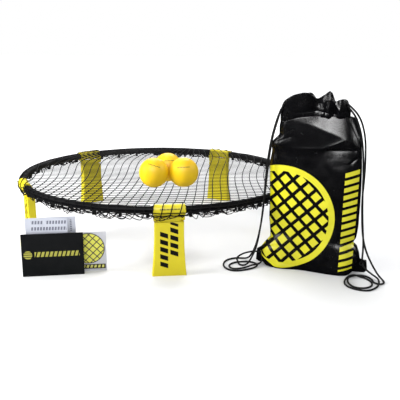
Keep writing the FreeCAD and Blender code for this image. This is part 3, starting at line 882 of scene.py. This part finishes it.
# The mouth's front: how far it stands forward across, beside the flat channel below it.
MOUTH_SWELL = [(-95, 1), (-84, 6), (-66, 11), (-46, 13), (-28, 11), (-12, 5), (-2, -1), (6, 2),
               (14, 9), (24, 8), (32, 12), (39, 5), (46, -3), (54, 6), (64, 12), (76, 9), (88, 0)]
MOUTH_FOLDS = [
    (41, 472, 72, 433, 4, 9, -6), (47, 482, 60, 452, 8, 8, 4), (58, 440, 84, 452, 8, 8, 3),
    (20, 494, 13, 466, 9, 7, 5), (13, 466, 26, 442, 9, 8, 5), (31, 496, 28, 460, 8, 7, 5),
    (-1, 478, 8, 456, 8, 7, 4), (-87, 443, -74, 420, 4, 4, 3), (-84, 458, -70, 442, 6, 5, 1.5),
    (-60, 438, 0, 446, 7, 6, 2), (0, 446, 60, 436, 7, 6, 3),
]


def make_bag_mouth():
    """The gathered cloth above the drawn channel: an outer wall, a ruffled lip, an inner wall."""
    count, rows = 360, 56
    turns = [2 * math.pi * k / count for k in range(count)]

    def wall_point(turn, share, inner):
        side = math.cos(turn)
        side = math.copysign(abs(side) ** 0.9, side)
        front = math.sin(turn) > 0
        neck = 1 - smoothstep(share, 0.0, 0.35)
        right = 88 - 12 * neck
        left = 95 + 1.5 * math.sin(math.pi * share)
        across = side * (right if side > 0 else left)
        key = across if front else -across
        top = curve_value(MOUTH_TOP, across)
        if not front:
            top -= 5 + 4 * math.sin(across * 0.09)
        base = curve_value(BAG_HEM, across) - 8
        up = base + (top - base) * share
        lens = max(0.0, 1 - abs(side) ** 2.4) ** 0.6
        swell = curve_value(MOUTH_SWELL, max(-95, min(88, key)))
        crumple = smoothstep(across, -22, 2) if front else 0.6
        ripple = noise.noise(Vector((across * 0.050, up * 0.014, 4.0)))
        crease = 1 - 2 * math.hypot(ripple, 0.06)
        rise = math.sin(math.pi * (0.1 + (0.42 + 0.3 * crumple) * share))
        deep = lens * (13 + swell * rise)
        deep += lens * crumple * (4.2 * crease - 2.2) * smoothstep(share, 0.1, 0.4)
        deep += lens * noise.noise(Vector((across * 0.03, up * 0.03, 7.0))) * 2.0
        deep -= fold_depth(MOUTH_FOLDS, key, up) * lens
        deep = max(deep, 1.5 * lens)
        if inner:
            deep = max(deep - 1.6, -1.0)
            across *= 0.985
            up -= 0.5
        return in_bag(across, BAG_MIDDLE - 3 + (-deep if front else deep), up)

    rings = []
    for row in range(rows + 1):
        rings.append([wall_point(turn, row / rows, False) for turn in turns])
    for row in range(rows, -1, -1):
        rings.append([wall_point(turn, 0.25 + 0.75 * row / rows, True) for turn in turns])
    mesh = loft_mesh("bag_mouth", rings)
    piece = add_piece("bag_mouth", mesh, bag_plain_material, "bag", "bag_fabric", "bag_gather")


make_bag_body()
make_bag_mouth()

# Outlines of the corner patches, and the eyelets' centres: across and up.
TABS = {
    "left": [(-110, 84), (-127, 62), (-135, 50), (-147, 42), (-149, 8), (-140, 2), (-110, 3)],
    "right": [(120, 92), (131, 82), (138, 63), (141, 46), (149, 39), (160, 41), (164, 12),
              (156, 4), (122, 3)],
}
EYELETS = {"left": (-131, 30), "right": (148, 30)}


def make_tab(side):
    """The corner patch that holds an eyelet: a puffed double layer with a stitched edge."""
    outline = TABS[side]
    middle = Vector((sum(p[0] for p in outline) / len(outline),
                     sum(p[1] for p in outline) / len(outline)))
    edge = []
    for one, two in zip(outline, outline[1:] + outline[:1]):
        for step in range(8):
            edge.append(Vector(one).lerp(Vector(two), step / 8))
    rings = []
    levels = [(0.3, -1.0), (0.6, -1.0), (0.86, -0.95), (0.965, -0.62), (1.0, 0.0),
              (0.965, 0.62), (0.86, 0.95), (0.6, 1.0), (0.3, 1.0)]
    for scale, out in levels:
        ring = []
        for point in edge:
            flat = middle.lerp(point, scale)
            away = (flat - Vector(EYELETS[side])).length
            puff = 1.7 + 1.6 * smoothstep(away, 6, 22)
            ring.append(in_bag(flat.x, 26.5 + out * puff, flat.y))
        rings.append(ring)
    mesh = loft_mesh("bag_corner_" + side, rings)
    piece = add_piece("bag_corner_" + side, mesh, bag_print_material, "bag", "bag_fabric",
                      "bag_tab_" + side)


for side in TABS:
    make_tab(side)


# ---------------------------------------------------------------- carried-over CAD nodes
def repaint(node, material):
    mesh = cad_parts[node].data
    mesh.materials.clear()
    mesh.materials.append(material)


for number in range(1, 6):
    repaint("rim_tube_%d" % number, black_plastic)
for leg, angle in LEG_ANGLES.items():
    repaint("socket_" + leg, sleeve_plastic("sleeve_plastic_" + leg, angle))
    repaint("hinge_pin_" + leg, pin_material)
    repaint("leg_" + leg, leg_plastic("leg_plastic_" + leg, angle))
for number in (1, 2, 3):
    repaint("ball_valve_%d" % number, valve_material)
for side in ("left", "right"):
    repaint("eyelet_" + side, eyelet_material)
repaint("net_hooks", black_plastic)
repaint("rules_card", card_material)
repaint("leaflet_front", leaflet_material)
repaint("leaflet_back", leaflet_material)
repaint("sticker_sheet", sticker_material)


# ---------------------------------------------------------------- floor and light
FLOOR_GLOW = (0.05, 0.75)       # emission near the set, and beyond it
FLOOR_GLOW_REACH = (0.7, 2.4)   # distances from the origin where the glow starts and ends
FLOOR_IN_GLOSS = (0.008, 0.008, 0.008, 1)
WORLD_FILL = 0.58
WORLD_IN_GLOSS = 0.012
WORLD_TO_EYE = 1.0
# Name, place, the point that it faces, size, power and use.
LIGHTS = [
    ("overhead", (0.1, 1.1, 3.0), (0.0, 0.0, 0.0), (1.8, 1.8), 88, "diffuse"),
    ("key", (-0.75, -2.75, 2.5), (0.1, -0.3, 0.2), (2.2, 1.6), 22, "diffuse"),
    ("gloss", (-0.85, -2.75, 2.5), (0.1, -0.3, 0.2), (2.2, 1.6), 155, "gloss"),
    ("front_fill", (-0.6, -6.5, 0.35), (0.0, 0.0, 0.1), (2.5, 0.5), 4, "diffuse"),
    ("left_side", (-2.3, -0.55, 0.8), (-0.47, -0.13, 0.1), (1.0, 1.0), 86, "diffuse"),
    ("right_side", (2.8, -1.6, 1.6), (0.3, -0.3, 0.2), (1.2, 1.6), 14, "diffuse"),
    ("right_gloss", (2.7, -0.7, 1.9), (0.3, -0.4, 0.3), (1.2, 1.4), 40, "gloss"),
    ("left_gloss", (-2.9, 0.0, 1.7), (0.0, -0.2, 0.3), (1.2, 1.4), 40, "gloss"),
    ("back_gloss", (0.3, 2.9, 2.4), (0.1, 0.0, 0.2), (2.4, 1.4), 80, "gloss"),
]


def make_floor():
    """Pale paper that glows towards the distance, and is dark in glossy reflections."""
    mesh = bpy.data.meshes.new("floor")
    reach = 30.0
    mesh.from_pydata([(-reach, -reach, 0), (reach, -reach, 0), (reach, reach, 0),
                      (-reach, reach, 0)], [], [(0, 1, 2, 3)])
    floor = bpy.data.objects.new("floor", mesh)
    bpy.context.scene.collection.objects.link(floor)
    s = Shader("floor_paper")
    tint = s.mix(s.noise(1.5), (0.69, 0.69, 0.70), (0.71, 0.71, 0.71))
    far = s.node("ShaderNodeVectorMath", {"operation": "LENGTH"}, Vector=s.place).outputs[1]
    material = s.finish(tint, 0.9, Specular_IOR_Level=0.0, Emission_Color=(1, 1, 1, 1),
                        Emission_Strength=s.spread(far, *FLOOR_GLOW, *FLOOR_GLOW_REACH))
    dark = s.node("ShaderNodeBsdfDiffuse", Color=FLOOR_IN_GLOSS).outputs[0]
    glossy = s.node("ShaderNodeLightPath").outputs["Is Glossy Ray"]
    both = s.node("ShaderNodeMixShader", Fac=glossy)
    s.feed(both.inputs[1], s.bsdf.outputs[0])
    s.feed(both.inputs[2], dark)
    s.feed(s.tree.nodes["Material Output"].inputs[0], both.outputs[0])
    mesh.materials.append(material)


def area_light(name, place, target, size, power, use):
    """A softbox for either diffuse light or glossy reflections, as use says."""
    data = bpy.data.lights.new(name, "AREA")
    data.shape = "RECTANGLE"
    data.size, data.size_y = size
    data.energy = power
    light = bpy.data.objects.new(name, data)
    bpy.context.scene.collection.objects.link(light)
    light.location = place
    light.rotation_euler = (Vector(target) - Vector(place)).to_track_quat("-Z", "Y").to_euler()
    light.visible_diffuse = use == "diffuse"
    light.visible_glossy = use == "gloss"


def make_world():
    """White to the eye, an even fill on the object, and dark in its glossy reflections."""
    world = bpy.data.worlds.new("studio")
    bpy.context.scene.world = world
    world.use_nodes = True
    tree = world.node_tree
    path = tree.nodes.new("ShaderNodeLightPath")
    shader = tree.nodes["Background"].outputs[0]
    tree.nodes["Background"].inputs["Color"].default_value = (0.96, 0.98, 1.0, 1)
    tree.nodes["Background"].inputs["Strength"].default_value = WORLD_FILL
    for ray, strength in (("Is Glossy Ray", WORLD_IN_GLOSS), ("Is Camera Ray", WORLD_TO_EYE)):
        other = tree.nodes.new("ShaderNodeBackground")
        other.inputs["Color"].default_value = (1, 1, 1, 1)
        other.inputs["Strength"].default_value = strength
        mix = tree.nodes.new("ShaderNodeMixShader")
        tree.links.new(path.outputs[ray], mix.inputs[0])
        tree.links.new(shader, mix.inputs[1])
        tree.links.new(other.outputs[0], mix.inputs[2])
        shader = mix.outputs[0]
    tree.links.new(shader, tree.nodes["World Output"].inputs[0])


make_floor()
make_world()
for light in LIGHTS:
    area_light(*light)
bpy.context.scene.view_settings.view_transform = "Standard"
